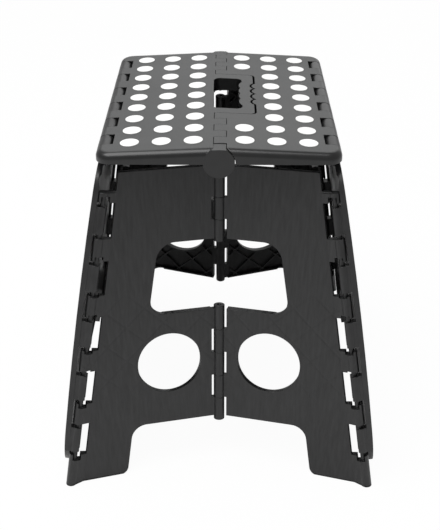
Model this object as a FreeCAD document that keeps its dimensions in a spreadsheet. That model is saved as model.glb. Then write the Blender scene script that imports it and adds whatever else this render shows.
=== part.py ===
"""Folding step stool of moulded plastic, built as a parametric document in millimetres.

The stool stands open. X runs across the seat to the right, Y from front to back and Z up.
Every panel hinge points at one apex above the seat, which lets the frame fold flat.
"""
import FreeCAD, Part
import math
import os

Vector = FreeCAD.Vector
Placement = FreeCAD.Placement
Rotation = FreeCAD.Rotation

SIZES = [
    ("seat_height", 386.5, "top of the seat at its outer edges"),
    ("seat_rise", 6.0, "how much higher the seat's middle is than its outer edges"),
    ("seat_half_width", 127.0, "middle to outer edge"),
    ("seat_depth", 318.0, "front to back"),
    ("seat_corner", 16.0, "corner radius seen from above"),
    ("seat_edge_round", 7.5, "rounding of the top edge"),
    ("skirt_height", 11.0, "skirt below the outer top edge"),
    ("wall", 2.6, "moulded wall"),
    ("rib_wall", 2.0, "ribs under the seat"),
    ("side_hinge_inset", 8.0, "seat edge to side hinge axis"),
    ("side_hinge_drop", 8.0, "seat top to side hinge axis"),
    ("side_knuckle_radius", 8.3, "barrels of the side panels at the seat"),
    ("side_knuckle_length", 25.0, "along the seat edge"),
    ("side_knuckle_pitch", 48.0, "along the seat edge"),
    ("side_knuckle_count", 6, "barrels on each side"),
    ("centre_axis_drop", 9.8, "outer top edge down to the middle hinge of the seat"),
    ("centre_knuckle_radius", 5.4, "barrels under the middle seam"),
    ("centre_knuckle_count", 5, "fingers between disc and handle"),
    ("seam_left", 6.0, "left half's edge from the middle"),
    ("seam_right", 8.0, "right half's edge from the middle"),
    ("disc_radius", 16.4, "round hinge cheek at the seat's front and back"),
    ("disc_drop", 0.7, "seat top to the flat on a hinge cheek"),
    ("centre_pin_inset", 3.5, "seat edge to the end of a middle hinge pin"),
    ("handle_length", 126.0, "handle loop, front to back"),
    ("handle_shift", 6.2, "middle of the seat to the middle of the handle loop, rearwards"),
    ("handle_reach", 38.8, "handle loop's outer edge from the middle"),
    ("handle_bar", 13.3, "width of the grip bar"),
    ("handle_end", 14.0, "width of the loop's ends"),
    ("handle_round", 5.5, "outer corners of the handle loop"),
    ("handle_slot", 2.3, "slot outside the grip bar"),
    ("handle_lift", 1.5, "underside of the handle loop above the skirt's lower edge"),
    ("recess_depth", 4.2, "waves in the grip's outer side"),
    ("recess_radius", 11.6, "waves in the grip's outer side"),
    ("crest_height", 3.6, "waves on the grip's inner side"),
    ("crest_radius", 22.6, "waves on the grip's inner side"),
    ("opening_edge", 7.3, "middle of the seat to the finger opening's inner edge"),
    ("finger_pitch", 17.2, "waves of the grip"),
    ("finger_count", 4, "waves of the grip"),
    ("seat_gap", 0.6, "gap between fitted parts of the seat"),
    ("dot_radius", 9.9, "grip dots"),
    ("dot_pitch_across", 33.1, "grip dots"),
    ("dot_pitch_along", 33.0, "grip dots"),
    ("dot_first", 26.7, "innermost column from the middle"),
    ("dot_columns", 3, "on each half"),
    ("dot_rows", 9, "front to back"),
    ("dot_height", 0.6, "grip dots above the seat"),
    ("seat_bays", 8, "bays between the cross ribs under the seat"),
    ("long_rib_inner", 43.2, "inner rib along the seat, from the middle"),
    ("long_rib_outer", 78.7, "outer rib along the seat, from the middle"),
    ("opening_round", 7.0, "corners of the finger opening"),
    ("seat_fold", 80.0, "degrees each seat half turns until the stool is flat"),
    ("foot_half_width", 169.84, "corner hinge axis at the floor, across"),
    ("foot_half_depth", 215.63, "corner hinge axis at the floor, along"),
    ("centre_foot_half_depth", 166.93, "middle hinge axis of a panel pair at the floor"),
    ("apex_height", 1160.6, "where all panel hinge axes meet"),
    ("panel_front", 1.3, "panel face in front of the hinge plane"),
    ("panel_back", 1.5, "panel face behind the hinge plane"),
    ("panel_rim", 5.0, "depth of the rims behind the panel face"),
    ("top_rim_end", 48.0, "corner hinge axis to the end of the rim along the top edge"),
    ("panel_rib", 3.2, "depth of the lattice behind the panel face"),
    ("panel_top_drop", 26.2, "seat's outer top edge down to the panel's upper edge"),
    ("top_notch_width", 19.0, "cut-out at the panel's upper corner"),
    ("top_notch_height", 20.0, "cut-out at the panel's upper corner"),
    ("corner_radius", 6.2, "corner barrels"),
    ("corner_pin_radius", 2.9, "pins moulded with the panels"),
    ("clip_length", 30.0, "side panel's clips"),
    ("clip_gap", 4.9, "open length at each end of a clip"),
    ("corner_pin_start", 12.0, "corner pin's lower end, along the middle hinge"),
    ("clip_last_drop", 50.6, "panel's upper edge down to the highest clip's middle"),
    ("clip_first", 51.3, "lowest clip's middle above the floor, along the middle hinge"),
    ("clip_count", 5, "clips on a corner"),
    ("clip_clearance", 0.4, "pin to clip"),
    ("clip_opening", 13.0, "hinge axis to the inner edge of the panel's notch"),
    ("clip_flare", 1.7, "how much a clip's mouth widens on each side"),
    ("pocket_step", 1.7, "how much longer each clip's pocket is than the last one's"),
    ("pocket_inner", 6.5, "hinge axis to a pocket's inner edge"),
    ("pocket_outer", 3.0, "hinge axis to a pocket's outer edge"),
    ("window_bottom", 193.3, "along the middle hinge"),
    ("window_top", 277.3, "along the middle hinge"),
    ("window_edge", 65.5, "corner hinge axis to the window's outer edge"),
    ("window_round_low", 16.0, "lower outer corner"),
    ("window_round_high", 22.0, "upper outer corner"),
    ("hole_radius", 36.6, "round hole"),
    ("hole_height", 132.3, "along the middle hinge"),
    ("hole_offset", 58.2, "from the middle hinge"),
    ("bridge_bottom", 56.7, "lower edge between the feet"),
    ("foot_width", 64.4, "foot at the floor, from the corner hinge axis"),
    ("foot_round", 10.0, "outer lower corner of a foot"),
    ("foot_inner_round", 11.0, "inner lower corner of a foot"),
    ("arch_round", 18.0, "corner between a foot and the lower edge"),
    ("foot_margin", 5.89, "foot's outer edge beyond the corner hinge axis"),
    ("panel_margin", 3.72, "panel's outer edge beyond the corner hinge axis"),
    ("barrel_radius", 6.2, "middle hinge of a panel pair"),
    ("barrel_clear", 9.0, "axis to the other panel's edge beside a barrel"),
    ("barrel_bottom", 51.7, "lower hinge, along its axis"),
    ("hinge_lap_low", 4.0, "lower hinge's top above the window's lower edge"),
    ("hinge_lap_high", 3.0, "upper hinge's foot below the window's upper edge"),
    ("lower_knuckles", 5, "lower hinge"),
    ("upper_knuckles", 3, "upper hinge"),
    ("upper_knuckle_length", 25.4, "upper hinge"),
    ("pin_radius", 2.0, "steel pins"),
    ("pin_clearance", 0.05, "steel pins in their bores"),
    ("end_gap", 0.4, "between neighbouring knuckles"),
    ("side_face_inset", 2.0, "side panel's outer face at the skirt, in from the seat's side"),
    ("side_face_foot", 180.9, "side panel's outer face at the floor, across"),
    ("side_corner", 60.0, "radius of the side panel's lower corners"),
    ("side_top_corner", 30.0, "radius of the side panel's upper corners"),
    ("side_bow", 3.8, "how far the side panel's face bows outwards"),
    ("side_foot_width", 38.0, "side panel's feet, along"),
    ("side_arch", 52.0, "height of the arch between the side panel's feet"),
    ("side_arch_lean", 0.2, "slope of the arch's sides"),
    ("side_arch_round", 18.0, "upper corners of the arch"),
    ("side_foot_round", 6.0, "inner lower corners of the side panel's feet"),
    ("side_top_drop", 13.0, "side hinge axis to the side panel's upper edge"),
    ("side_rim", 6.0, "depth of the side panel's rims"),
    ("side_lattice_inset", 22.0, "side panel's edge to its lattice"),
    ("clip_web", 9.0, "web that carries a clip"),
    ("pin_overhang", 7.5, "side hinge pins past the last barrels"),
    ("side_rib", 5.0, "depth of the lattice inside a side panel"),
    ("lattice_pitch", 29.0, "diagonal ribs"),
    ("lattice_wall", 2.2, "diagonal ribs"),
    ("pad_thickness", 2.0, "rubber pads below the feet"),
]

doc = FreeCAD.newDocument("FoldingStepStool")
sheet = doc.addObject("Spreadsheet::Sheet", "Sizes")
for row, (alias, value, note) in enumerate(SIZES, start=1):
    sheet.set("A%d" % row, alias)
    sheet.set("B%d" % row, str(value))
    sheet.set("C%d" % row, note)
    sheet.setAlias("B%d" % row, alias)
doc.recompute()


class Named:
    """The sheet's values under their aliases."""

    def __getattr__(self, alias):
        return float(getattr(sheet, alias))


s = Named()

LEFT, RIGHT = -1, 1
HUGE = 2000.0


def box(x0, x1, y0, y1, z0, z1):
    """Solid box between two corners."""
    return Part.makeBox(x1 - x0, y1 - y0, z1 - z0, Vector(x0, y0, z0))


def rounded_wire(corners, to_point):
    """Closed wire through (a, b, radius) corners, placed in space by to_point."""
    count = len(corners)
    cuts = []
    for i, (a, b, radius) in enumerate(corners):
        here = Vector(a, b, 0)
        before = Vector(*corners[i - 1][:2], 0) - here
        after = Vector(*corners[(i + 1) % count][:2], 0) - here
        if radius <= 0:
            cuts.append((here, None, here))
            continue
        half = before.getAngle(after) / 2
        reach = radius / math.tan(half)
        bisector = before.normalize() + after.normalize()
        centre = here + bisector.normalize() * (radius / math.sin(half))
        middle = centre + (here - centre).normalize() * radius
        cuts.append((here + before * reach, middle, here + after * reach))
    edges = []
    for i, (start, middle, end) in enumerate(cuts):
        if middle is not None:
            edges.append(Part.Arc(to_point(start), to_point(middle), to_point(end)).toShape())
        following = cuts[(i + 1) % count][0]
        if end.distanceToPoint(following) > 1e-6:
            edges.append(Part.LineSegment(to_point(end), to_point(following)).toShape())
    return Part.Wire(edges)


def prism_along_y(corners, y0, y1):
    """Prism over (x, z, radius) corners from y0 to y1."""
    wire = rounded_wire(corners, lambda p: Vector(p.x, y0, p.y))
    return Part.Face(wire).extrude(Vector(0, y1 - y0, 0))


def prism_along_z(corners, z0, z1):
    """Prism over (x, y, radius) corners from z0 to z1."""
    wire = rounded_wire(corners, lambda p: Vector(p.x, p.y, z0))
    return Part.Face(wire).extrude(Vector(0, 0, z1 - z0))


def prism_along_x(corners, x0, x1):
    """Prism over (y, z, radius) corners from x0 to x1."""
    wire = rounded_wire(corners, lambda p: Vector(x0, p.x, p.y))
    return Part.Face(wire).extrude(Vector(x1 - x0, 0, 0))


def rod(radius, start, end):
    """Cylinder from point to point."""
    return Part.makeCylinder(radius, (end - start).Length, start, end - start)


def flip_x(shape):
    """Mirror image in the plane X = 0."""
    return shape.mirror(Vector(0, 0, 0), Vector(1, 0, 0))


def fused(shapes):
    """One solid from several."""
    return shapes[0].fuse(shapes[1:]).removeSplitter()


def add_piece(name, shape, placement=None):
    """Document object for one moulded piece."""
    piece = doc.addObject("Part::Feature", name)
    piece.Label = name
    piece.Shape = shape
    if placement is not None:
        piece.Placement = placement
    return piece


# Seat

half_depth = s.seat_depth / 2
seat_bottom = s.seat_height - s.skirt_height
seat_middle_top = s.seat_height + s.seat_rise
crown = math.atan2(s.seat_rise, s.seat_half_width)
side_axis_x = s.seat_half_width - s.side_hinge_inset
side_axis_z = s.seat_height - s.side_hinge_drop
centre_axis = s.seat_height - s.centre_axis_drop
handle_half = s.handle_length / 2
middle_knuckle = (s.side_knuckle_count - 1) / 2
knuckle_offsets = [(i - middle_knuckle) * s.side_knuckle_pitch for i in range(int(s.side_knuckle_count))]
CLEAR = 1.0
BELOW_SEAT = seat_bottom - 30
ABOVE_SEAT = seat_middle_top + CLEAR


def roof(drop=0.0):
    """Everything under the crowned seat surface, lowered by drop."""
    width = s.seat_half_width + CLEAR
    outer = s.seat_height - CLEAR * math.tan(crown) - drop
    low = BELOW_SEAT - CLEAR
    corners = [
        (-width, low, 0),
        (width, low, 0),
        (width, outer, 0),
        (0, seat_middle_top - drop, 0),
        (-width, outer, 0),
    ]
    return prism_along_y(corners, -half_depth - CLEAR, half_depth + CLEAR)


def bottom_relief():
    """Room below the seat's middle: the halves meet underneath when they are folded."""
    slope = math.tan(math.radians(s.seat_fold))
    high = centre_axis + 0.5
    run = (high - seat_bottom) * slope
    low = BELOW_SEAT
    corners = [(-CLEAR, high, 0), (0, high, 0), (run, seat_bottom, 0), (run, low, 0), (-CLEAR, low, 0)]
    return prism_along_y(corners, -half_depth - CLEAR, half_depth + CLEAR)


def seat_plan(inner, inset):
    """Outline of a half seen from above, from its inner edge outwards, inset all round."""
    width = s.seat_half_width - inset
    depth = half_depth - inset
    corner = s.seat_corner - inset
    return [(inner, -depth, 0), (width, -depth, corner), (width, depth, corner), (inner, depth, 0)]


def finger_places():
    """Where each finger lies along the grip."""
    middle = (s.finger_count - 1) / 2
    return [s.handle_shift + (i - middle) * s.finger_pitch for i in range(int(s.finger_count))]


def grip_outline(gap, slot):
    """Handle loop seen from above, grown by gap at its ends and by slot at the grip bar."""
    edge = s.handle_reach + slot
    front = s.handle_shift - handle_half - gap
    rear = s.handle_shift + handle_half + gap
    round_corner = s.handle_round + gap
    corners = [
        (-s.seam_left - CLEAR, front, 0),
        (edge, front, round_corner),
        (edge, rear, round_corner),
        (-s.seam_left - CLEAR, rear, 0),
    ]
    loop = prism_along_z(corners, BELOW_SEAT, ABOVE_SEAT)
    across = s.handle_reach - s.recess_depth + s.recess_radius
    for y in finger_places():
        centre = Vector(across, y, BELOW_SEAT - CLEAR)
        loop = loop.cut(Part.makeCylinder(s.recess_radius - slot, HUGE, centre))
    return loop


def grip_opening():
    """Finger opening inside the loop, with the grip's waves."""
    edge = s.handle_reach - s.handle_bar
    half = handle_half - s.handle_end
    front = s.handle_shift - half
    rear = s.handle_shift + half
    corners = [
        (-s.opening_edge, front, s.opening_round),
        (edge, front, s.opening_round),
        (edge, rear, s.opening_round),
        (-s.opening_edge, rear, s.opening_round),
    ]
    hole = prism_along_z(corners, BELOW_SEAT - CLEAR, ABOVE_SEAT)
    across = edge - s.crest_height + s.crest_radius
    for y in finger_places():
        centre = Vector(across, y, BELOW_SEAT - 2 * CLEAR)
        hole = hole.cut(Part.makeCylinder(s.crest_radius, HUGE, centre))
    return hole


def rounded_rim(block, radius):
    """Block with its upper edges rounded, apart from the one at its inner end."""
    rims = []
    for edge in block.Edges:
        bounds = edge.BoundBox
        on_top = bounds.ZMin > s.seat_height - s.wall - CLEAR
        inner_edge = bounds.XMax < block.BoundBox.XMin + CLEAR
        if on_top and not inner_edge:
            rims.append(edge)
    return block.makeFillet(radius, rims)


def seat_shell(inner):
    """Hollow half of the seat with its ribs, from its inner edge outwards."""
    top = ABOVE_SEAT
    block = prism_along_z(seat_plan(inner, 0), seat_bottom, top).common(roof())
    block = rounded_rim(block, s.seat_edge_round)
    core = prism_along_z(seat_plan(inner + s.wall, s.wall), seat_bottom - CLEAR, top)
    core = rounded_rim(core.common(roof(s.wall)), s.seat_edge_round - s.wall)
    shell = block.cut(core)
    ribs = []
    rib_bottom = seat_bottom + s.rib_wall
    rib_half = s.rib_wall / 2
    for i in range(1, int(s.seat_bays)):
        y = -half_depth + i * s.seat_depth / s.seat_bays
        ribs.append(box(inner, s.seat_half_width, y - rib_half, y + rib_half, rib_bottom, top))
    for x in (s.long_rib_inner, s.long_rib_outer):
        ribs.append(box(x, x + s.rib_wall, -half_depth, half_depth, rib_bottom, top))
    notch_x = side_axis_x - s.side_knuckle_radius - s.seat_gap
    for y in knuckle_offsets:
        reach = s.side_knuckle_length / 2 + s.seat_gap + s.wall
        ribs.append(box(notch_x - s.wall, s.seat_half_width, y - reach, y + reach, seat_bottom, top))
    ribs = [rib.common(core) for rib in ribs]
    shell = fused([shell] + ribs)
    for y in knuckle_offsets:
        reach = s.side_knuckle_length / 2 + s.seat_gap
        outer = s.seat_half_width + CLEAR
        shell = shell.cut(box(notch_x, outer, y - reach, y + reach, seat_bottom - CLEAR, top))
    bore = s.pin_radius + s.pin_clearance
    ends = knuckle_offsets[-1] + s.side_knuckle_length / 2 + s.pin_overhang + CLEAR
    front_end = Vector(side_axis_x, -ends, side_axis_z)
    rear_end = Vector(side_axis_x, ends, side_axis_z)
    return shell.cut(rod(bore, front_end, rear_end)).cut(bottom_relief())


def on_centre_axis(y):
    """Point on the seat's middle hinge axis."""
    return Vector(0, y, centre_axis)


def finger_span(index, front):
    """Y range of a finger, counted from the seat's front or back edge."""
    sign = -1 if front else 1
    edge = sign * half_depth
    step = (s.handle_shift + sign * handle_half - edge) / (s.centre_knuckle_count + 1)
    start = edge + index * step
    return min(start, start + step), max(start, start + step)


def seat_half(side):
    """One half of the seat: the left one carries the discs and the handle."""
    is_left = side == LEFT
    own_edge = s.seam_left if is_left else s.seam_right
    other_edge = s.seam_right if is_left else s.seam_left
    reach = other_edge - s.seat_gap
    half = seat_shell(own_edge)
    clear_disc = s.disc_radius + s.seat_gap
    if is_left:
        half = flip_x(half)
    additions = []
    top = ABOVE_SEAT
    cuts = []
    for front in (True, False):
        for index in range(2 if is_left else 1, int(s.centre_knuckle_count) + 1, 2):
            y0, y1 = finger_span(index, front)
            y0 += s.end_gap / 2
            y1 -= s.end_gap / 2
            barrel = rod(s.centre_knuckle_radius, on_centre_axis(y0), on_centre_axis(y1))
            x0, x1 = sorted((side * (own_edge + s.wall), -side * reach))
            arm = box(x0, x1, y0, y1, centre_axis, top).common(roof())
            additions.append(barrel.fuse(arm))
        y0, y1 = finger_span(0, front)
        outer = y0 if front else y1
        inner = y1 - s.end_gap / 2 if front else y0 + s.end_gap / 2
        if is_left:
            disc = rod(s.disc_radius, on_centre_axis(outer), on_centre_axis(inner))
            additions.append(disc.common(roof(s.disc_drop)))
        else:
            beyond = outer - CLEAR if front else outer + CLEAR
            cuts.append(rod(clear_disc, on_centre_axis(beyond), on_centre_axis(inner)))
    if is_left:
        above_bottom = box(-HUGE, HUGE, -HUGE, HUGE, seat_bottom + s.handle_lift, HUGE)
        additions.append(grip_outline(0, 0).common(roof()).common(above_bottom))
        opening_wall = -s.opening_edge - s.wall
        ends = handle_half - s.handle_end
        front = s.handle_shift - ends
        rear = s.handle_shift + ends
        beside = box(opening_wall, -s.seam_left, front, rear, seat_bottom + s.handle_lift, top)
        additions.append(beside.common(roof()))
        half = fused([half] + additions)
        half = half.cut(grip_opening())
    else:
        own_side = box(own_edge, HUGE, -HUGE, HUGE, seat_bottom, HUGE)
        fence = grip_outline(s.seat_gap + s.wall, s.handle_slot + s.wall).common(roof()).common(own_side)
        half = fused([half, fence.cut(bottom_relief())] + additions)
        half = half.cut(grip_outline(s.seat_gap, s.handle_slot))
        for cut in cuts:
            half = half.cut(cut)
    bore = s.pin_radius + s.pin_clearance
    for sign in (-1, 1):
        inner = s.handle_shift + sign * (handle_half - s.handle_end + s.centre_pin_inset)
        outer = sign * (half_depth - s.centre_pin_inset + CLEAR / 2)
        half = half.cut(rod(bore, on_centre_axis(inner), on_centre_axis(outer)))
    return half


def dot_places(side):
    """Centres of the grip dots on one half, on the sloping seat surface."""
    places = []
    clear_of_handle = handle_half + s.wall + s.dot_radius
    for column in range(int(s.dot_columns)):
        across = s.dot_first + column * s.dot_pitch_across
        for row in range(int(s.dot_rows)):
            along = (row - (s.dot_rows - 1) / 2) * s.dot_pitch_along
            near_handle = abs(along - s.handle_shift) < clear_of_handle
            beside_handle = side == RIGHT and column == 0 and near_handle
            if not beside_handle:
                places.append((side * across, along, seat_middle_top - across * math.tan(crown)))
    return places


def grip_dots(side):
    """Soft round dots on one half of the seat."""
    up = Vector(side * math.sin(crown), 0, math.cos(crown))
    discs = []
    for x, y, z in dot_places(side):
        discs.append(Part.makeCylinder(s.dot_radius, s.dot_height, Vector(x, y, z), up))
    return Part.makeCompound(discs)


# Front and rear panels

apex = Vector(0, 0, s.apex_height)
panel_top = s.seat_height - s.panel_top_drop


def panel_frame(side, rear):
    """Placement of a panel half: X away from the middle hinge, Y outwards, Z up the hinge."""
    turn = 1 if rear else -1
    foot = Vector(0, turn * s.centre_foot_half_depth, 0)
    corner = Vector(side * s.foot_half_width, turn * s.foot_half_depth, 0)
    up = (apex - foot).normalize()
    away = corner - foot
    away = (away - up * away.dot(up)).normalize()
    local_x = away if side * turn > 0 else away * -1
    return Placement(foot, Rotation(local_x, up.cross(local_x), up, "ZXY"))


sample = panel_frame(LEFT, False)
corner_local = sample.inverse().multVec(Vector(-s.foot_half_width, -s.foot_half_depth, 0))
apex_local = sample.inverse().multVec(apex)
corner_dir = (apex_local - corner_local).normalize()
corner_slope = corner_dir.x / corner_dir.z
floor_normal = sample.inverse().Rotation.multVec(Vector(0, 0, 1))


def corner_x(z):
    """Corner hinge axis in a panel's own frame."""
    return corner_local.x + (z - corner_local.z) * corner_slope


def corner_point(z):
    """Point on the corner hinge axis in a panel's own frame."""
    return Vector(corner_x(z), 0, z)


def floor_line(x):
    """Height of the floor in a panel's own frame, a little below it so that feet end flat."""
    return -floor_normal.x / floor_normal.z * x - 1.0


corner_turn = Rotation(Vector(0, 0, 1), corner_dir)


def at_corner(z, shape):
    """Shape moved to the corner hinge axis: X towards the corner, Z up the axis."""
    shape.Placement = Placement(corner_point(z), corner_turn)
    return shape


def corner_bulge():
    """Corner barrel that swells out of the panel's face, from below the floor to the top."""
    profile = [
        (0, s.corner_radius, 0),
        (-s.clip_opening, s.panel_front, 0),
        (-s.clip_opening, -s.panel_back, 0),
        (0, -s.panel_back, 0),
    ]
    high = panel_top - s.top_notch_height
    low = corner_local.z - s.panel_rim
    length = (corner_point(high) - corner_point(low)).Length
    ramp = at_corner(low, prism_along_z(profile, 0, length))
    return ramp.fuse(rod(s.corner_radius, corner_point(low), corner_point(high)))


def clip_heights():
    """Middles of the clips, along the middle hinge."""
    pitch = (panel_top - s.clip_last_drop - s.clip_first) / (s.clip_count - 1)
    return [s.clip_first + i * pitch for i in range(int(s.clip_count))]


def panel_outline(inset):
    """Outline of a panel half in its own frame, inset all round."""
    edge = s.panel_margin - inset
    foot_edge = s.foot_margin - inset
    notch_low = panel_top - s.top_notch_height
    arch = s.bridge_bottom + inset
    inner = inset + s.barrel_clear
    top = panel_top - inset
    foot_inner = corner_x(0) - s.foot_width + inset
    foot_outer = corner_x(0) + foot_edge
    return [
        (inner, arch, 0),
        (corner_x(arch) - s.foot_width + inset, arch, s.arch_round),
        (foot_inner, floor_line(foot_inner) + inset, s.foot_inner_round),
        (foot_outer, floor_line(foot_outer) + inset, s.foot_round),
        (corner_x(notch_low) + edge, notch_low - inset, 0),
        (corner_x(notch_low) - s.top_notch_width + s.corner_radius - inset, notch_low - inset, 0),
        (corner_x(top) - s.top_notch_width + s.corner_radius - inset, top, 0),
        (inner, top, 0),
    ]


def window_outline(grow):
    """Outline of the window in a panel half, grown all round."""
    low = s.window_bottom - grow
    high = s.window_top + grow
    return [
        (-20, low, 0),
        (corner_x(low) - s.window_edge + grow, low, s.window_round_low + grow),
        (corner_x(high) - s.window_edge + grow, high, s.window_round_high + grow),
        (-20, high, 0),
    ]


def lattice_pockets(x0, x1, z0, z1, y0, y1):
    """Diamond pockets that leave a lattice of diagonal ribs between them."""
    half = s.lattice_pitch / math.sqrt(2)
    size = half - s.lattice_wall / math.sqrt(2)
    pockets = []
    rows = int((z1 - z0) / half) + 2
    columns = int((x1 - x0) / (2 * half)) + 2
    for row in range(rows):
        shift = half if row % 2 else 0
        for column in range(columns):
            x = x0 + column * 2 * half + shift
            z = z0 + row * half
            corners = [(x - size, z, 0), (x, z - size, 0), (x + size, z, 0), (x, z + size, 0)]
            pockets.append(prism_along_y(corners, y0, y1))
    return Part.makeCompound(pockets)


def barrel_spans():
    """(from, to, index) of the middle hinge's knuckles, upwards."""
    spans = []
    lower = (s.window_bottom + s.hinge_lap_low - s.barrel_bottom) / s.lower_knuckles
    for i in range(int(s.lower_knuckles)):
        spans.append((s.barrel_bottom + i * lower, s.barrel_bottom + (i + 1) * lower, i))
    start = s.window_top - s.hinge_lap_high
    for i in range(int(s.upper_knuckles)):
        spans.append((start + i * s.upper_knuckle_length, start + (i + 1) * s.upper_knuckle_length, i))
    return spans


def panel_half(own_even):
    """Panel half in its own frame: even knuckles are its own if own_even is set."""
    front = s.panel_front
    back = -s.panel_back
    rib_back = back - s.panel_rib
    rim_back = back - s.panel_rim
    face = prism_along_y(panel_outline(0), rib_back, front)
    hole_centre = Vector(s.hole_offset, -HUGE / 2, s.hole_height)
    y_axis = Vector(0, 1, 0)
    window = prism_along_y(window_outline(0), -HUGE / 2, HUGE / 2)
    hole = Part.makeCylinder(s.hole_radius, HUGE, hole_centre, y_axis)
    # Lattice: pockets in the back, kept off the rims
    field = prism_along_y(panel_outline(s.wall), rib_back - 1, back)
    field = field.cut(prism_along_y(window_outline(s.wall), -HUGE / 2, HUGE / 2))
    field = field.cut(Part.makeCylinder(s.hole_radius + s.wall, HUGE, hole_centre, y_axis))
    reach = s.clip_length / 2 + s.clip_gap
    for z in clip_heights():
        far = reach + s.wall + s.pocket_step * s.clip_count
        field = field.cut(at_corner(z, box(-s.clip_opening - s.wall, 60, -60, 60, -far, far)))
    pockets = lattice_pockets(0, corner_x(0), -20, panel_top, rib_back - 1, back)
    face = face.cut(pockets.common(field))
    # Deeper rims along the top edge, the window and the lower edge, clear of the corner
    rims = []
    away = corner_x(panel_top) - s.top_rim_end
    rims.append(box(s.barrel_clear, away, rim_back, back, panel_top - s.wall, panel_top))
    rims.append(box(s.barrel_clear, corner_x(s.window_top) - s.window_edge - s.window_round_high,
                    rim_back, back, s.window_top, s.window_top + s.wall))
    rims.append(box(s.barrel_clear, corner_x(s.window_bottom) - s.window_edge - s.window_round_low,
                    rim_back, back, s.window_bottom - s.wall, s.window_bottom))
    rims.append(box(s.barrel_clear, corner_x(s.bridge_bottom) - s.foot_width - s.arch_round,
                    rim_back, back, s.bridge_bottom, s.bridge_bottom + s.wall))
    body = fused([face] + rims)
    body = body.cut(window).cut(hole)
    # Corner: a barrel along the axis, with a pin left free in each notch
    body = body.fuse(corner_bulge())
    for i, z in enumerate(clip_heights()):
        above = reach + s.pocket_step * i
        below = reach + s.pocket_step * (s.clip_count - 1 - i)
        body = body.cut(at_corner(z, box(-s.clip_opening, 30, -30, 30, -reach, reach)))
        body = body.cut(at_corner(z, box(-s.pocket_inner, s.pocket_outer, -30, 30, -below, above)))
    high = corner_point(panel_top - s.top_notch_height)
    body = body.fuse(rod(s.corner_pin_radius, corner_point(s.corner_pin_start), high))
    # Middle hinge
    bore = s.pin_radius + s.pin_clearance
    for z0, z1, index in barrel_spans():
        own = (index % 2 == 0) == own_even
        z0 += s.end_gap / 2
        z1 -= s.end_gap / 2
        if own:
            barrel = rod(s.barrel_radius, Vector(0, 0, z0), Vector(0, 0, z1))
            body = body.fuse(barrel)
            z0 = max(z0, s.bridge_bottom)
            web = box(0, s.barrel_clear + 1, rib_back, front, z0, z1)
            web = web.cut(prism_along_y(window_outline(0), -HUGE / 2, HUGE / 2))
            body = body.fuse(web)
    body = body.cut(rod(bore, Vector(0, 0, s.barrel_bottom + s.wall), Vector(0, 0, panel_top)))
    return body.cut(below_floor(sample, s.pad_thickness)).removeSplitter()


def below_floor(frame, height):
    """Everything below a height above the floor, in a piece's own frame."""
    slab = box(-HUGE, HUGE, -HUGE, HUGE, -HUGE, height)
    slab.Placement = frame.inverse()
    return slab


def panel_pad():
    """Rubber pad below a panel's foot, in the panel's own frame."""
    foot = prism_along_y(panel_outline(0), -s.panel_back - s.panel_rib, s.panel_front)
    foot = foot.fuse(corner_bulge()).removeSplitter()
    foot = foot.common(below_floor(sample, s.pad_thickness))
    return foot.cut(below_floor(sample, 0))


# Side panels

face_run = s.side_face_foot - s.seat_half_width + s.side_face_inset
face_tilt = math.atan2(face_run, seat_bottom)
side_frame = Placement(Vector(s.side_face_foot, 0, 0), Rotation(Vector(0, 1, 0), -math.degrees(face_tilt)))
to_side = side_frame.inverse()


def side_corner_point(height, sign):
    """Point on a corner hinge axis, at a world height, in the right side panel's frame."""
    share = 1 - height / s.apex_height
    return to_side.multVec(Vector(s.foot_half_width * share, sign * s.foot_half_depth * share, height))


def side_edge(height):
    """Half length of the side panel at a height in its own frame."""
    low = side_corner_point(0, 1)
    high = side_corner_point(seat_bottom, 1)
    slope = (high.y - low.y) / (high.z - low.z)
    return low.y + (height - low.z) * slope + s.corner_radius - 1


side_axis = to_side.multVec(Vector(side_axis_x, 0, side_axis_z))
side_top = side_axis.z - s.side_top_drop


def side_outline(inset):
    """Outline of the side panel in its own frame, as (y, z, radius) corners."""
    low = -1.0 + inset
    high = side_top - inset
    y_low = side_edge(low) - inset
    y_high = side_edge(high) - inset
    foot_inner = side_edge(0) - s.side_foot_width - s.side_corner + inset
    arch_inner = foot_inner - s.side_arch * s.side_arch_lean
    arch = s.side_arch + inset
    return [
        (-y_low, low, s.side_corner - inset),
        (-y_high, high, s.side_top_corner - inset),
        (y_high, high, s.side_top_corner - inset),
        (y_low, low, s.side_corner - inset),
        (foot_inner, low, s.side_foot_round),
        (arch_inner, arch, s.side_arch_round),
        (-arch_inner, arch, s.side_arch_round),
        (-foot_inner, low, s.side_foot_round),
    ]


side_middle = seat_bottom / 2
bow_radius = (side_middle ** 2 + s.side_bow ** 2) / (2 * s.side_bow)


def side_bulge(z, depth=0.0):
    """How far the face, or a surface at a depth behind it, stands out at a height."""
    run = math.sqrt((bow_radius - depth) ** 2 - (z - side_middle) ** 2)
    return s.side_bow - bow_radius + run


def side_plate(inset, outer, inner):
    """The panel's outline, inset all round, between two depths behind its bowed face."""
    middle = side_middle
    low = -s.side_rim
    high = seat_bottom + s.side_rim

    def at_depth(depth, z):
        return Vector(side_bulge(z, depth), -HUGE / 2, z)

    edges = [
        Part.Arc(at_depth(outer, low), at_depth(outer, middle), at_depth(outer, high)).toShape(),
        Part.LineSegment(at_depth(outer, high), at_depth(inner, high)).toShape(),
        Part.Arc(at_depth(inner, high), at_depth(inner, middle), at_depth(inner, low)).toShape(),
        Part.LineSegment(at_depth(inner, low), at_depth(outer, low)).toShape(),
    ]
    slab = Part.Face(Part.Wire(edges)).extrude(Vector(0, HUGE, 0))
    plan = prism_along_x(side_outline(inset), -HUGE / 2, HUGE / 2)
    return plan.common(slab)


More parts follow.
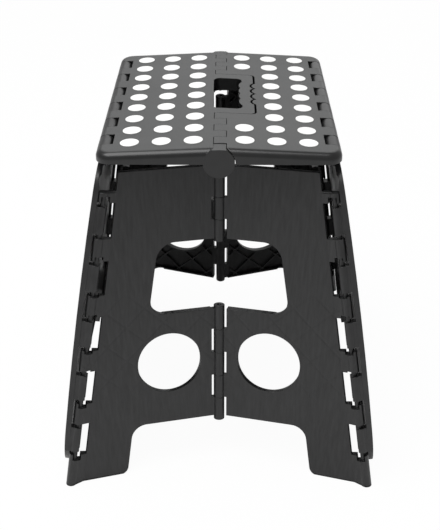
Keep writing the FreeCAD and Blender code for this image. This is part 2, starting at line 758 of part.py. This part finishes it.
def clip_frame(height, sign):
    """Placement on a corner hinge axis of the side panel: Z along it, X outwards."""
    top = to_side.multVec(apex)
    low = side_corner_point(0, sign)
    along = (top - low).normalize()
    distance = (apex_local - corner_point(height)).Length
    outwards = Vector(1, 0, 0)
    outwards = (outwards - along * outwards.dot(along)).normalize()
    return Placement(top - along * distance, Rotation(outwards, along.cross(outwards), along, "ZXY"))


def side_panel():
    """Right side panel in its own frame: X outwards, Y along the seat, Z up its outer face."""
    skin = side_plate(0, 0, s.wall)
    rim = side_plate(0, 0, s.side_rim)
    rim = rim.cut(prism_along_x(side_outline(s.wall), -HUGE / 2, HUGE / 2))
    lattice = side_plate(s.side_lattice_inset, s.wall, s.wall + s.side_rib)
    edge = side_edge(0)
    pockets = lattice_pockets(-edge, edge, 0, side_top, -HUGE / 2, HUGE / 2)
    pockets.rotate(Vector(0, 0, 0), Vector(0, 0, 1), -90)
    lattice = lattice.cut(pockets)
    body = fused([skin, rim, lattice])
    clear = s.corner_radius + s.clip_clearance
    for sign in (-1, 1):
        low = side_corner_point(-20, sign)
        high = side_corner_point(s.seat_height, sign)
        body = body.cut(rod(clear, low, high))
    clips = []
    channels = []
    half = s.clip_length / 2
    channel = s.corner_pin_radius + s.clip_clearance
    depth = s.corner_radius + CLEAR
    wide = channel + s.clip_flare
    mouth = [(-depth, -wide, 0), (0, -channel, 0), (0, channel, 0), (-depth, wide, 0)]
    for sign in (-1, 1):
        for height in clip_heights():
            frame = clip_frame(height, sign)
            reach = -frame.Base.x + side_bulge(frame.Base.z) - CLEAR
            clip = Part.makeCylinder(s.corner_radius, s.clip_length, Vector(0, 0, -half))
            clip = clip.fuse(box(0, reach, -s.clip_web / 2, s.clip_web / 2, -half, half))
            clip.Placement = frame
            clips.append(clip)
            bore = Part.makeCylinder(channel, s.clip_length + 2 * CLEAR, Vector(0, 0, -half - CLEAR))
            bore = bore.fuse(prism_along_z(mouth, -half - CLEAR, half + CLEAR))
            bore.Placement = frame
            channels.append(bore)
    knuckles = []
    for y in knuckle_offsets:
        y0 = y - s.side_knuckle_length / 2
        y1 = y + s.side_knuckle_length / 2
        start = side_axis + Vector(0, y0, 0)
        barrel = Part.makeCylinder(s.side_knuckle_radius, y1 - y0, start, Vector(0, 1, 0))
        knuckles.append(barrel)
        web_inner, web_outer = sorted((side_axis.x - s.wall, 0))
        knuckles.append(box(web_inner, web_outer, y0, y1, side_top - s.wall, side_axis.z))
    body = fused([body] + clips + knuckles)
    for channel_cut in channels:
        body = body.cut(channel_cut)
    reach = Vector(0, s.seat_depth, 0)
    body = body.cut(rod(s.pin_radius + s.pin_clearance, side_axis - reach, side_axis + reach))
    return body.cut(below_floor(side_frame, s.pad_thickness)).removeSplitter()


def side_pads():
    """Rubber pads below a side panel's feet, in the panel's own frame."""
    foot = side_plate(0, 0, s.side_rim).common(below_floor(side_frame, s.pad_thickness))
    return foot.cut(below_floor(side_frame, 0))


# Pieces

turned = Placement(Vector(0, 0, 0), Rotation(Vector(0, 0, 1), 180))
pieces = []
pieces.append(add_piece("seat_half_left", seat_half(LEFT)))
pieces.append(add_piece("seat_half_right", seat_half(RIGHT)))
pieces.append(add_piece("grip_dots_left", grip_dots(LEFT)))
pieces.append(add_piece("grip_dots_right", grip_dots(RIGHT)))

first_half = panel_half(True)
second_half = flip_x(panel_half(False))
first_pad = panel_pad()
second_pad = flip_x(first_pad)
for rear, row in ((False, "front"), (True, "rear")):
    for side, name in ((LEFT, "left"), (RIGHT, "right")):
        is_first = (side == LEFT) != rear
        frame = panel_frame(side, rear)
        pieces.append(add_piece(f"{row}_panel_{name}", first_half if is_first else second_half, frame))
        pieces.append(add_piece(f"{row}_foot_pad_{name}", first_pad if is_first else second_pad, frame))

right_side = side_panel()
right_pads = side_pads()
pieces.append(add_piece("side_panel_right", right_side, side_frame))
pieces.append(add_piece("side_panel_left", right_side, turned.multiply(side_frame)))
pieces.append(add_piece("side_foot_pads_right", right_pads, side_frame))
pieces.append(add_piece("side_foot_pads_left", right_pads, turned.multiply(side_frame)))


def add_pin(name, start, direction, length):
    """Steel pin bound to the sheet: length is an expression over its aliases."""
    pin = doc.addObject("Part::Cylinder", name)
    pin.Label = name
    pin.setExpression("Radius", "Sizes.pin_radius")
    pin.setExpression("Height", length)
    pin.Placement = Placement(start, Rotation(Vector(0, 0, 1), direction))
    pieces.append(pin)


forwards = Vector(0, -1, 0)
side_pin_half = knuckle_offsets[-1] + s.side_knuckle_length / 2 + s.pin_overhang
side_pin_length = (
    "(Sizes.side_knuckle_count - 1) * Sizes.side_knuckle_pitch"
    " + Sizes.side_knuckle_length + 2 * Sizes.pin_overhang"
)
for side, name in ((LEFT, "left"), (RIGHT, "right")):
    start = Vector(side * side_axis_x, side_pin_half, side_axis_z)
    add_pin(f"seat_side_pin_{name}", start, forwards, side_pin_length)

pin_end = half_depth - s.centre_pin_inset
to_loop = (
    "Sizes.seat_depth / 2 - Sizes.handle_length / 2 + Sizes.handle_end"
    " - 2 * Sizes.centre_pin_inset - 1"
)
add_pin("seat_centre_pin_rear", on_centre_axis(pin_end), forwards, to_loop + " - Sizes.handle_shift")
add_pin("seat_centre_pin_front", on_centre_axis(-pin_end), forwards * -1, to_loop + " + Sizes.handle_shift")

lower_pin_length = "Sizes.window_bottom + 4 - Sizes.barrel_bottom - Sizes.wall - 1.5"
upper_pin_length = "Sizes.upper_knuckles * Sizes.upper_knuckle_length - 2"
for rear, row in ((False, "front"), (True, "rear")):
    frame = panel_frame(LEFT, rear)
    up = frame.Rotation.multVec(Vector(0, 0, 1))
    start = frame.multVec(Vector(0, 0, s.barrel_bottom + s.wall + 0.5))
    add_pin(f"{row}_hinge_pin_lower", start, up, lower_pin_length)
    start = frame.multVec(Vector(0, 0, s.window_top - 2))
    add_pin(f"{row}_hinge_pin_upper", start, up, upper_pin_length)

doc.recompute()

for obj in doc.Objects:
    if "Invalid" in obj.State or "Error" in obj.State:
        raise RuntimeError(f"{obj.Label} failed: {obj.State}")

os.makedirs("parts", exist_ok=True)
for piece in pieces:
    shape = piece.Shape
    if shape.isNull() or not shape.isValid():
        raise RuntimeError(f"{piece.Label} has no valid shape")
    print(f"{piece.Label:26s} solids {len(shape.Solids):2d} volume {shape.Volume / 1000:8.2f} cm3")
    shape.exportStep(f"parts/{piece.Label}.step")
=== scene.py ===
"""Folding step stool in satin black plastic with soft white dots, on a pale studio floor."""

import math

import bpy
from mathutils import Matrix, Vector

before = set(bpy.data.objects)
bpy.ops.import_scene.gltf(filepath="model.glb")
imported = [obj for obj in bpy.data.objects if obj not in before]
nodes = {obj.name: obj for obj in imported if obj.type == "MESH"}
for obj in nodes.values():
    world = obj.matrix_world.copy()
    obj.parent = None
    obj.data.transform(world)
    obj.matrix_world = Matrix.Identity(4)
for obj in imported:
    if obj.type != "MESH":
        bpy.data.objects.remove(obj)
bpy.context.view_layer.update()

# Camera, worked out from the stool's straight edges and round holes in the photograph

IMAGE_HEIGHT = 530
FOCAL_PIXELS = 1008.2
CAMERA_PLACE = Vector((0.00674, -1.0994, 0.7995))
CAMERA_PITCH_DOWN = 0.5188
CAMERA_YAW = -0.006
PRINCIPAL_POINT_UP = 3.73
SENSOR = 36.0
CLIP_END = 50


def add_camera():
    """Camera at the photograph's place."""
    data = bpy.data.cameras.new("camera")
    data.sensor_fit = "AUTO"
    data.sensor_width = SENSOR
    data.lens = FOCAL_PIXELS * SENSOR / IMAGE_HEIGHT
    data.shift_y = -PRINCIPAL_POINT_UP / IMAGE_HEIGHT
    data.clip_end = CLIP_END
    camera = bpy.data.objects.new("camera", data)
    bpy.context.scene.collection.objects.link(camera)
    forward = Vector((
        math.sin(CAMERA_YAW) * math.cos(CAMERA_PITCH_DOWN),
        math.cos(CAMERA_YAW) * math.cos(CAMERA_PITCH_DOWN),
        -math.sin(CAMERA_PITCH_DOWN),
    ))
    right = Vector((math.cos(CAMERA_YAW), -math.sin(CAMERA_YAW), 0))
    up = right.cross(forward)
    axes = Matrix((right, up, -forward)).transposed().to_4x4()
    camera.matrix_world = Matrix.Translation(CAMERA_PLACE) @ axes
    bpy.context.scene.camera = camera


# Materials: linear tones, lengths in metres

WHITE = (1, 1, 1)
# The seat is one black plastic: its skirts are painted darker as shade and its top lighter as the
# light that falls on it
SKIRT_PAINTED_SHADE_TONE = (0.006, 0.006, 0.0062)
TOP_PAINTED_LIGHT_TONE = (0.068, 0.069, 0.069)
PANEL_TONE = (0.0105, 0.0105, 0.0108)
DOT_TONES = (0.84, 0.84, 0.83), (0.9, 0.9, 0.89)
PAD_TONES = (0.012, 0.012, 0.012), (0.02, 0.02, 0.02)
STEEL_TONES = (0.28, 0.28, 0.29), (0.42, 0.42, 0.43)
CLOUD_TONE = (0.84, 0.84, 0.84)
# Darkening painted into the sink marks as the shade in their dents
SINK_MARK_PAINTED_SHADE_TONE = (0.85, 0.85, 0.85)
SKIRT_ROUGHNESS = 0.3
TOP_ROUGHNESS = 0.55
PANEL_ROUGHNESS = 0.32, 0.42
SIDE_ROUGHNESS = 0.30, 0.40
DOT_ROUGHNESS = 0.62
PAD_ROUGHNESS = 0.85
STEEL_ROUGHNESS = 0.25, 0.4
PLASTIC_IOR = 1.5
SKIRT_CONTRAST = 1.3
TOP_CONTRAST = 1.2
PANEL_CONTRAST = 1.7
EDGE_RADIUS = 0.0010
DOT_EDGE_RADIUS = 0.0006
BEVEL_SAMPLES = 6
SHARP_ANGLE = math.radians(32)

# How much each noise is squeezed along the axes, and how fine each grain is
EVEN = (1, 1, 1)
PANEL_STREAKS = (300, 300, 5)
SIDE_STREAKS = (60, 300, 5)
SEAT_STREAKS = (90, 12, 90)
STEEL_LINES = (900, 900, 900)
PANEL_CLOUDS = (9, 9, 9)
SEAT_CLOUDS = (14, 14, 14)
DOT_CLOUDS = (30, 30, 30)
PAD_CLOUDS = (60, 60, 60)
PANEL_GRAIN = 2600
SEAT_GRAIN = 900
DOT_GRAIN = 1800
PAD_GRAIN = 1500

# Depth and strength of each bump
GRAIN_BUMP = 0.00004, 0.4
STREAK_BUMP = 0.0002, 0.3
MARK_BUMP = 0.0004, 0.4
SEAT_BUMP = 0.00012, 0.5
DOT_BUMP = 0.00005, 0.4
PAD_BUMP = 0.0001, 0.5

# Noise values that count as its low and high end
NOISE_RANGE = 0.3, 0.7

# Upward part of the seat's normal where the top's painted light begins and where it is full; below
# it the seat is painted darker as shade
PAINTED_LIGHT_TOP_FACING = 0.94, 0.995

# Sink marks over the diagonal ribs: half the ribs' spacing, how far below the floor their
# pattern starts, half width of a mark, and the heights between which they fade away
RIB_PITCH = 0.0205
RIB_START = 0.020
RIB_MARK = 0.0034
MARK_FADES = (0.20, 0.235), (0.12, 0.085)


class Nodes:
    """Shorthand for building one material's node tree."""

    def __init__(self, name):
        self.material = bpy.data.materials.new(name)
        self.material.use_nodes = True
        self.tree = self.material.node_tree
        self.shader = self.tree.nodes["Principled BSDF"]

    def add(self, kind, **settings):
        """New node with the given properties."""
        node = self.tree.nodes.new(kind)
        for key, value in settings.items():
            setattr(node, key, value)
        return node

    def link(self, source, target):
        """Link of two sockets."""
        self.tree.links.new(source, target)

    def set(self, name, value):
        """Constant or socket for one of the shader's inputs."""
        if isinstance(value, bpy.types.NodeSocket):
            self.link(value, self.shader.inputs[name])
        else:
            self.shader.inputs[name].default_value = value

    def coordinates(self, scale):
        """Object coordinates, stretched by a scale along each axis."""
        place = self.add("ShaderNodeTexCoord")
        mapping = self.add("ShaderNodeMapping")
        mapping.inputs["Scale"].default_value = scale
        self.link(place.outputs["Object"], mapping.inputs["Vector"])
        return mapping.outputs["Vector"]

    def noise(self, scale, size=1.0, detail=3.0, roughness=0.5):
        """Noise over stretched object coordinates."""
        node = self.add("ShaderNodeTexNoise")
        node.inputs["Scale"].default_value = size
        node.inputs["Detail"].default_value = detail
        node.inputs["Roughness"].default_value = roughness
        self.link(self.coordinates(scale), node.inputs["Vector"])
        return node.outputs["Fac"]

    def grain(self, size):
        """Fine even noise."""
        return self.noise(EVEN, size, detail=2.0)

    def ramp(self, source, low, high, span=NOISE_RANGE):
        """Colour ramp between two colours."""
        node = self.add("ShaderNodeValToRGB")
        first, last = node.color_ramp.elements
        first.position, last.position = span
        first.color = (*low, 1)
        last.color = (*high, 1)
        self.link(source, node.inputs["Fac"])
        return node.outputs["Color"]

    def spread(self, source, span, low, high, **settings):
        """Value spread from a span to the range between low and high."""
        node = self.add("ShaderNodeMapRange", **settings)
        node.inputs["From Min"].default_value = span[0]
        node.inputs["From Max"].default_value = span[1]
        node.inputs["To Min"].default_value = low
        node.inputs["To Max"].default_value = high
        self.link(source, node.inputs["Value"])
        return node.outputs["Result"]

    def calculate(self, operation, first, second=None):
        """Result of one sum; second is a socket or a number."""
        node = self.add("ShaderNodeMath", operation=operation)
        self.link(first, node.inputs[0])
        if isinstance(second, bpy.types.NodeSocket):
            self.link(second, node.inputs[1])
        elif second is not None:
            node.inputs[1].default_value = second
        return node.outputs[0]

    def multiply(self, first, second):
        """Product of two colours."""
        node = self.add("ShaderNodeMix", data_type="RGBA", blend_type="MULTIPLY")
        node.inputs["Factor"].default_value = 1.0
        self.link(first, node.inputs["A"])
        self.link(second, node.inputs["B"])
        return node.outputs["Result"]

    def bump(self, source, relief, normal=None):
        """Bump of a given depth and strength, over another normal."""
        node = self.add("ShaderNodeBump")
        node.inputs["Distance"].default_value, node.inputs["Strength"].default_value = relief
        self.link(source, node.inputs["Height"])
        if normal is not None:
            self.link(normal, node.inputs["Normal"])
        return node.outputs["Normal"]

    def bevel(self, radius):
        """Softened edges."""
        node = self.add("ShaderNodeBevel", samples=BEVEL_SAMPLES)
        node.inputs["Radius"].default_value = radius
        return node.outputs["Normal"]

    def sink_marks(self):
        """Crossed diagonal lines over the ribs behind a face: 0 on a line, 1 off it."""
        place = self.add("ShaderNodeSeparateXYZ")
        self.link(self.coordinates(EVEN), place.inputs["Vector"])
        height = self.calculate("ADD", place.outputs["Z"], RIB_START)
        span = (RIB_PITCH - RIB_MARK, RIB_PITCH)
        lines = []
        for slant in ("ADD", "SUBTRACT"):
            along = self.calculate("ABSOLUTE", place.outputs["X"])
            wave = self.calculate("PINGPONG", self.calculate(slant, along, height), RIB_PITCH)
            lines.append(self.spread(wave, span, 1.0, 0.0, interpolation_type="SMOOTHSTEP"))
        dents_and_painted_shade = self.calculate("MINIMUM", lines[0], lines[1])
        for fade in MARK_FADES:
            faded = self.spread(place.outputs["Z"], fade, 0.0, 1.0)
            dents_and_painted_shade = self.calculate("MAXIMUM", dents_and_painted_shade, faded)
        return dents_and_painted_shade


def plastic_colour(made, base, streaks, cloud, contrast):
    """Black with slightly lighter flow streaks and soft clouds."""
    dark = tuple(value / contrast for value in base)
    light = tuple(value * contrast for value in base)
    return made.multiply(made.ramp(streaks, dark, light), made.ramp(cloud, CLOUD_TONE, WHITE))


def black_plastic(name, roughness, streak_scale, marked):
    """Moulded satin plastic with flow streaks and a fine grain, and, if marked, sink marks that
    are dented and painted darker as shade.
    """
    made = Nodes(name)
    streaks = made.noise(streak_scale, detail=4.0, roughness=0.6)
    cloud = made.noise(PANEL_CLOUDS)
    colour = plastic_colour(made, PANEL_TONE, streaks, cloud, PANEL_CONTRAST)
    normal = made.bump(made.grain(PANEL_GRAIN), GRAIN_BUMP, made.bevel(EDGE_RADIUS))
    normal = made.bump(streaks, STREAK_BUMP, normal)
    if marked:
        dents_and_painted_shade = made.sink_marks()
        # The sink marks are dented by the bump below and painted darker as the shade in their
        # dents
        colour = made.multiply(colour, made.ramp(dents_and_painted_shade, SINK_MARK_PAINTED_SHADE_TONE, WHITE, (0, 1)))
        normal = made.bump(dents_and_painted_shade, MARK_BUMP, normal)
    made.set("Base Color", colour)
    made.set("Roughness", made.spread(cloud, NOISE_RANGE, *roughness))
    made.set("Normal", normal)
    made.set("IOR", PLASTIC_IOR)
    return made.material


def seat_plastic():
    """The seat: a sanded top painted lighter as the light falling on it, and glossy skirts,
    knuckles and discs painted darker as shade.
    """
    made = Nodes("seat_plastic")
    cloud = made.noise(SEAT_CLOUDS)
    streaks = made.noise(SEAT_STREAKS)
    speckle = made.noise(EVEN, SEAT_GRAIN, roughness=0.7)
    facing = made.add("ShaderNodeSeparateXYZ")
    made.link(made.add("ShaderNodeTexCoord").outputs["Normal"], facing.inputs["Vector"])
    painted_light_top = made.spread(facing.outputs["Z"], PAINTED_LIGHT_TOP_FACING, 0.0, 1.0)
    # Painted light: the upward-facing top gets the lighter colour and the rest the darker, shaded
    # one
    colour = made.add("ShaderNodeMix", data_type="RGBA")
    made.link(painted_light_top, colour.inputs["Factor"])
    made.link(plastic_colour(made, SKIRT_PAINTED_SHADE_TONE, streaks, cloud, SKIRT_CONTRAST), colour.inputs["A"])
    made.link(plastic_colour(made, TOP_PAINTED_LIGHT_TONE, speckle, cloud, TOP_CONTRAST), colour.inputs["B"])
    made.set("Base Color", colour.outputs["Result"])
    made.set("Roughness", made.spread(painted_light_top, (0, 1), SKIRT_ROUGHNESS, TOP_ROUGHNESS))
    made.set("Normal", made.bump(speckle, SEAT_BUMP, made.bevel(EDGE_RADIUS)))
    made.set("IOR", PLASTIC_IOR)
    return made.material


def grip_rubber():
    """Soft matt white dots."""
    made = Nodes("grip_rubber")
    made.set("Base Color", made.ramp(made.noise(DOT_CLOUDS), *DOT_TONES))
    made.set("Normal", made.bump(made.grain(DOT_GRAIN), DOT_BUMP, made.bevel(DOT_EDGE_RADIUS)))
    made.set("Roughness", DOT_ROUGHNESS)
    return made.material


def pad_rubber():
    """Matt black rubber below the feet."""
    made = Nodes("pad_rubber")
    made.set("Base Color", made.ramp(made.noise(PAD_CLOUDS), *PAD_TONES))
    made.set("Normal", made.bump(made.grain(PAD_GRAIN), PAD_BUMP))
    made.set("Roughness", PAD_ROUGHNESS)
    return made.material


def pin_steel():
    """Drawn steel rod."""
    made = Nodes("pin_steel")
    lines = made.noise(STEEL_LINES)
    made.set("Base Color", made.ramp(lines, *STEEL_TONES))
    made.set("Roughness", made.spread(lines, NOISE_RANGE, *STEEL_ROUGHNESS))
    made.set("Metallic", 1.0)
    return made.material


def dress_nodes():
    """Materials and smooth shading of the frame's own pieces."""
    panel = black_plastic("panel_plastic", PANEL_ROUGHNESS, PANEL_STREAKS, True)
    side = black_plastic("side_plastic", SIDE_ROUGHNESS, SIDE_STREAKS, False)
    # The first of these words that a piece's name holds gives its material
    materials = {
        "dots": grip_rubber(),
        "pad": pad_rubber(),
        "pin": pin_steel(),
        "seat": seat_plastic(),
        "side": side,
        "panel": panel,
    }
    for name, node in nodes.items():
        word = next(word for word in materials if word in name)
        for slot in node.material_slots:
            slot.material = materials[word]
        node.data.shade_smooth()
        node.data.set_sharp_from_angle(angle=SHARP_ANGLE)


# Studio

FLOOR_SIZE = 12
FLOOR_TONE = (0.93, 0.93, 0.93)
FLOOR_SEEN_WHITE = 0.96
FLOOR_ROUGHNESS = 0.9
FLOOR_SPECULAR = 0.1
ROOM_LIGHT = 0.5

# Name, place, point looked at, size and power
LAMPS = (
    ("key", (-0.6, -0.5, 2.2), (0, 0, 0.2), 1.6, 38),
    ("rear", (0.3, 2.2, 1.4), (0, 0, 0.3), 1.8, 7),
)


def floor_white():
    """Pale matt floor that the camera sees as nearly white, with a faint shadow."""
    made = Nodes("floor_white")
    made.set("Base Color", (*FLOOR_TONE, 1))
    made.set("Roughness", FLOOR_ROUGHNESS)
    made.set("Specular IOR Level", FLOOR_SPECULAR)
    seen = made.add("ShaderNodeLightPath").outputs["Is Camera Ray"]
    mix = made.add("ShaderNodeMixShader")
    made.link(made.calculate("MULTIPLY", seen, FLOOR_SEEN_WHITE), mix.inputs["Fac"])
    made.link(made.shader.outputs["BSDF"], mix.inputs[1])
    made.link(made.add("ShaderNodeEmission").outputs["Emission"], mix.inputs[2])
    made.link(mix.outputs["Shader"], made.tree.nodes["Material Output"].inputs["Surface"])
    return made.material


def add_floor():
    """Pale floor under the stool."""
    bpy.ops.mesh.primitive_plane_add(size=FLOOR_SIZE, location=(0, 0, 0))
    floor = bpy.context.object
    floor.name = "floor"
    floor.data.materials.append(floor_white())


def add_lamp(name, place, aim, size, power):
    """Square soft lamp that looks at a point."""
    data = bpy.data.lights.new(name, "AREA")
    data.shape = "SQUARE"
    data.size = size
    data.energy = power
    lamp = bpy.data.objects.new(name, data)
    lamp.location = place
    lamp.rotation_euler = (Vector(aim) - Vector(place)).to_track_quat("-Z", "Y").to_euler()
    bpy.context.scene.collection.objects.link(lamp)


def add_room():
    """Even light from all round, which the camera sees as plain white."""
    world = bpy.data.worlds.new("studio")
    world.use_nodes = True
    tree = world.node_tree
    room = tree.nodes["Background"]
    seen = tree.nodes.new("ShaderNodeBackground")
    for background, strength in ((room, ROOM_LIGHT), (seen, 1.0)):
        background.inputs["Color"].default_value = (*WHITE, 1)
        background.inputs["Strength"].default_value = strength
    paths = tree.nodes.new("ShaderNodeLightPath")
    mix = tree.nodes.new("ShaderNodeMixShader")
    tree.links.new(paths.outputs["Is Camera Ray"], mix.inputs["Fac"])
    tree.links.new(room.outputs[0], mix.inputs[1])
    tree.links.new(seen.outputs[0], mix.inputs[2])
    tree.links.new(mix.outputs[0], tree.nodes["World Output"].inputs["Surface"])
    bpy.context.scene.world = world


add_camera()
dress_nodes()
add_floor()
add_room()
for lamp in LAMPS:
    add_lamp(*lamp)
bpy.context.scene.view_settings.view_transform = "Standard"
